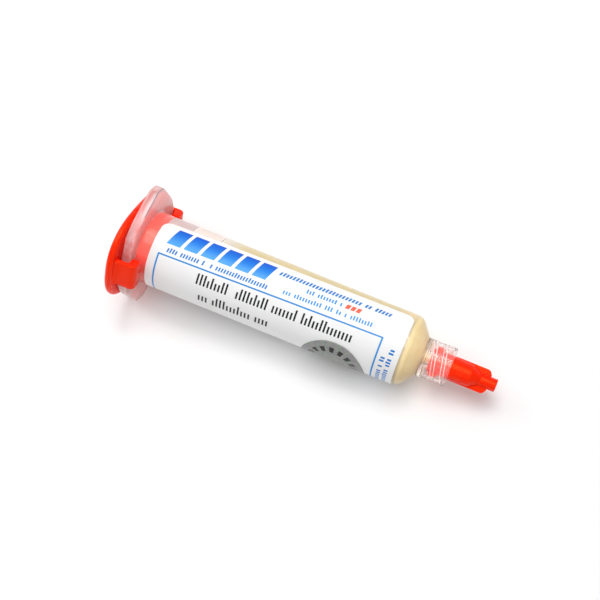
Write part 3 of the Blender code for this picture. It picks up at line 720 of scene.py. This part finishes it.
def lofted(name, centre, wide, thick, rounding, turn):
    """Loft rounded rectangles along a line of centres, all turned about the axis by an angle.

    Wide and thick are each section's half sides as vectors, given along, beside and above the
    axis. Its corners are quarter circles, and the end sections draw in by the same circle so
    that the piece's ends are rounded too.
    """
    centre, wide, thick = (swung(points, turn) for points in (centre, wide, thick))
    start, end = centre[0] - centre[1], centre[-1] - centre[-2]
    draw = np.radians(np.linspace(90, 0, END_STEPS))[:, None]
    first = centre[0] + start / np.linalg.norm(start) * rounding * np.sin(draw)
    last = centre[-1] + end / np.linalg.norm(end) * rounding * np.sin(draw[::-1])
    draw_in = 1 - np.cos(draw)
    inset = np.concatenate((draw_in, np.zeros((len(centre), 1)), draw_in[::-1])) * rounding
    centre = np.vstack((first, centre, last))
    bend = np.radians(np.concatenate(
        [np.linspace(90 * k, 90 * k + 90, CORNER_STEPS) for k in range(4)]))
    quadrant = np.radians(45 + 90 * np.repeat(np.arange(4), CORNER_STEPS))
    points = centre[:, None]
    for side, wave in ((wide, np.cos), (thick, np.sin)):
        head, tail = (np.repeat(section, END_STEPS, 0) for section in (side[:1], side[-1:]))
        side = np.vstack((head, side, tail))
        size = np.linalg.norm(side, axis=1, keepdims=True)
        out = np.sign(wave(quadrant)) * (size - rounding) + wave(bend) * (rounding - inset)
        points = points + out[..., None] * (side / size)[:, None]
    return skin(name, lay(*np.moveaxis(points, -1, 0)))


HOOK_INSIDE, HOOK_OUTSIDE, HOOK_HALF_WIDTH = 0.012724, 0.013924, 0.00365
HOOK_START, HOOK_BACK, HOOK_FRONT, HOOK_REACH = -0.0010, 0.0027, 0.0050, 0.0111
HOOK_BEND, HOOK_EDGE = 0.0013, 0.0004
ROOT_FLARE, FLARE_LENGTH = 0.0007, 0.0012
arm = np.linspace(HOOK_START, HOOK_FRONT - HOOK_BEND, 14)
flare = ROOT_FLARE * np.clip(1 - (arm - PLATE_FRONT) / FLARE_LENGTH, 0, 1) ** 2
bend = np.linspace(0, np.pi / 2, 10)[1:]
lip = np.linspace(HOOK_OUTSIDE - HOOK_BEND, HOOK_REACH, 8)[1:]
lip_inside = np.linspace(HOOK_INSIDE, HOOK_REACH, 8)[1:]
bend_x = HOOK_FRONT - HOOK_BEND + HOOK_BEND * np.sin(bend)
bend_r = HOOK_OUTSIDE - HOOK_BEND + HOOK_BEND * np.cos(bend)
outside = np.stack((np.concatenate((arm, bend_x, HOOK_FRONT + 0 * lip)),
                    np.concatenate((HOOK_OUTSIDE + flare, bend_r, lip))), -1)
inside = np.stack((np.concatenate((np.minimum(arm, HOOK_BACK), HOOK_BACK + 0 * bend,
                                   HOOK_BACK + 0 * lip)),
                   np.concatenate((HOOK_INSIDE + 0 * arm, HOOK_INSIDE + 0 * bend,
                                   lip_inside))), -1)
hooks = []
for name, side in (("end_cap_hook_near", 1), ("end_cap_hook_far", -1)):
    centre = np.zeros((len(outside), 3))
    thick = np.zeros((len(outside), 3))
    centre[:, [0, 2]] = (outside + inside) / 2 * (1, side)
    thick[:, [0, 2]] = (outside - inside) / 2 * (1, side)
    wide = np.tile((0.0, HOOK_HALF_WIDTH, 0.0), (len(outside), 1))
    hooks.append(lofted(name, centre, wide, thick, HOOK_EDGE, CAP_TURN))
orange, nodes, links, shader = moulded(
    "orange_polyethylene", (0.92, 0.006, 0.001), (1.0, 0.020, 0.001), (0.22, 0.32), 0.000002,
    streak=90.0)
shader.inputs["Specular IOR Level"].default_value = 0.4
shader.inputs["Specular Tint"].default_value = (1.0, 0.50, 0.12, 1.0)
shader.inputs["Subsurface Weight"].default_value = 0.25
shader.inputs["Subsurface Radius"].default_value = (0.004, 0.0008, 0.0003)
for piece in (end_cap, *hooks):
    piece.data.materials.append(orange)
    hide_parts("end_cap")
    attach(piece, "end_cap")

# The tip cap: a small plug-on closure screwed into the collar, with a hub, two flat wings to
# grip, two lugs for the thread and a stepped nose. The same orange-red plastic.

TIP_TURN = np.radians(-31.0)
HUB_END, CONE_END, NOSE_END = 0.088476, 0.090976, 0.094976
SOCKET_MOUTH, SOCKET_END = 0.078176, 0.083876
SOCKET_MOUTH_RADIUS, SOCKET_END_RADIUS = 0.00233, 0.00216
NOSE_RADIUS, HUB_FRONT_RADIUS, HUB_RADIUS = 0.0016, 0.0028, 0.0030
WING_BACK, WING_END, WING_HALF, WING_CORNER = 0.083776, 0.092976, 0.00305, 0.0011
WING_HALF_THICK, WING_EDGE = 0.0006, 0.0002
LUG_PLACE, LUG_INSIDE, LUG_OUTSIDE = SOCKET_MOUTH + 0.0016, 0.0026, 0.0034
LUG_HALF_LENGTH, LUG_HALF_WIDTH, LUG_EDGE = 0.0010, 0.0013, 0.00015
cap_path = rounded_path([
    (NOSE_END, 0.0, 0.0), (NOSE_END, NOSE_RADIUS, 0.00025), (CONE_END, NOSE_RADIUS, 0.0003),
    (HUB_END, HUB_FRONT_RADIUS, 0.0004), (WING_BACK, HUB_RADIUS, 0.0002),
    (SOCKET_MOUTH, HUB_RADIUS, 0.0003), (SOCKET_MOUTH, SOCKET_MOUTH_RADIUS, 0.0001),
    (SOCKET_END, SOCKET_END_RADIUS, 0.0002), (SOCKET_END, 0.0, 0.0)], spacing=0.0003)
tip_cap = skin("tip_cap_hub", turned(cap_path[1:-1]))
corner_start = WING_END - WING_CORNER
round_corner = np.radians(np.linspace(8, 80, 10))
along = np.concatenate((np.linspace(WING_BACK, corner_start, 10),
                        corner_start + WING_CORNER * np.sin(round_corner)))
past_start = np.clip(along - corner_start, 0, None)
drop = WING_CORNER - np.sqrt(WING_CORNER ** 2 - past_start ** 2)
centre = np.stack((along, 0 * along, 0 * along), -1)
wide = np.stack((0 * along, WING_HALF - drop, 0 * along), -1)
thick = np.tile((0.0, 0.0, WING_HALF_THICK), (len(along), 1))
wings = lofted("tip_cap_wings", centre, wide, thick, WING_EDGE, TIP_TURN)
lugs = []
for name, side in (("tip_cap_lug_a", 1), ("tip_cap_lug_b", -1)):
    out = np.linspace(LUG_INSIDE, LUG_OUTSIDE, 3) * side
    centre = np.stack((0 * out + LUG_PLACE, out, 0 * out), -1)
    wide = np.tile((LUG_HALF_LENGTH, 0.0, 0.0), (len(out), 1))
    thick = np.tile((0.0, 0.0, LUG_HALF_WIDTH), (len(out), 1))
    lugs.append(lofted(name, centre, wide, thick, LUG_EDGE, TIP_TURN))
for piece in (tip_cap, wings, *lugs):
    piece.data.materials.append(orange)
    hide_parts("tip_cap")
    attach(piece, "tip_cap")

# The studio: a pale floor that turns white for the camera, three soft lamps above, behind and
# to the left, a weak one at the front right, and an even white room.

floor_mesh = bpy.data.meshes.new("floor")
floor_mesh.from_pydata([(-2, -2, 0), (2, -2, 0), (2, 2, 0), (-2, 2, 0)], [], [(0, 1, 2, 3)])
floor = bpy.data.objects.new("floor", floor_mesh)
bpy.context.scene.collection.objects.link(floor)
table_top, nodes, links, shader = material_of("white_table", (0.86, 0.855, 0.85), 0.6)
shader.inputs["Specular IOR Level"].default_value = 0.0
shader.inputs["Emission Color"].default_value = (1.0, 1.0, 1.0, 1.0)


def seen_rays(tree):
    """Mask of the rays that show the background: from the camera, in gloss and through glass."""
    path = tree.nodes.new("ShaderNodeLightPath")
    camera_ray, glossy_ray = path.outputs["Is Camera Ray"], path.outputs["Is Glossy Ray"]
    seen_or_mirrored = sum_node(tree, "MAXIMUM", camera_ray, glossy_ray)
    return sum_node(tree, "MAXIMUM", seen_or_mirrored, path.outputs["Is Transmission Ray"])


tree = table_top.node_tree
shown = seen_rays(tree)
far = nodes.new("ShaderNodeVectorMath")
far.operation = "LENGTH"
links.new(nodes.new("ShaderNodeTexCoord").outputs["Object"], far.inputs[0])
glow = nodes.new("ShaderNodeMapRange")
glow.interpolation_type = "SMOOTHSTEP"
for socket, value in zip(("From Min", "From Max", "To Min", "To Max"), (0.10, 0.60, 0.06, 1.0)):
    glow.inputs[socket].default_value = value
links.new(far.outputs["Value"], glow.inputs["Value"])
links.new(sum_node(tree, "MULTIPLY", glow.outputs["Result"], shown),
          shader.inputs["Emission Strength"])
links.new(blend_colour(tree, shown, (0.92, 0.915, 0.91), (0.84, 0.84, 0.84)),
          shader.inputs["Base Color"])
floor.data.materials.append(table_top)

world = bpy.data.worlds.new("studio")
bpy.context.scene.world = world
world.use_nodes = True
nodes, links = world.node_tree.nodes, world.node_tree.links
room = nodes["Background"]
room.inputs["Color"].default_value = (1.0, 1.0, 1.0, 1.0)
room.inputs["Strength"].default_value = 0.34
white = nodes.new("ShaderNodeBackground")
white.inputs["Color"].default_value = (1.0, 1.0, 1.0, 1.0)
mix = nodes.new("ShaderNodeMixShader")
links.new(seen_rays(world.node_tree), mix.inputs["Fac"])
links.new(room.outputs["Background"], mix.inputs[1])
links.new(white.outputs["Background"], mix.inputs[2])
links.new(mix.outputs["Shader"], nodes["World Output"].inputs["Surface"])


def soft_lamp(name, place, size, power):
    """A square lamp at a place, turned towards the syringe."""
    light = bpy.data.lights.new(name, "AREA")
    light.size = size
    light.energy = power
    lamp = bpy.data.objects.new(name, light)
    lamp.location = place
    back = np.array(place) / np.linalg.norm(place)
    lamp.rotation_euler = (np.arccos(back[2]), 0.0, np.arctan2(back[1], back[0]) + np.pi / 2)
    bpy.context.scene.collection.objects.link(lamp)


soft_lamp("lamp_above", (0.0, 0.03, 0.54), 0.34, 1.36)
soft_lamp("lamp_behind", (-0.05, 0.20, 0.50), 0.22, 0.78)
soft_lamp("lamp_left", (-0.42, 0.06, 0.34), 0.34, 0.85)
soft_lamp("lamp_right", (0.22, -0.34, 0.36), 0.34, 0.27)

camera = bpy.data.cameras.new("camera")
camera.lens = 66.0
camera.sensor_width = 36.0
view = bpy.data.objects.new("camera", camera)
view.location = (0.05712, -0.085644, 0.261638)
view.rotation_euler = np.radians((22.4903, 4.5262, 23.7571))
bpy.context.scene.collection.objects.link(view)
bpy.context.scene.camera = view
bpy.context.scene.view_settings.view_transform = "Standard"
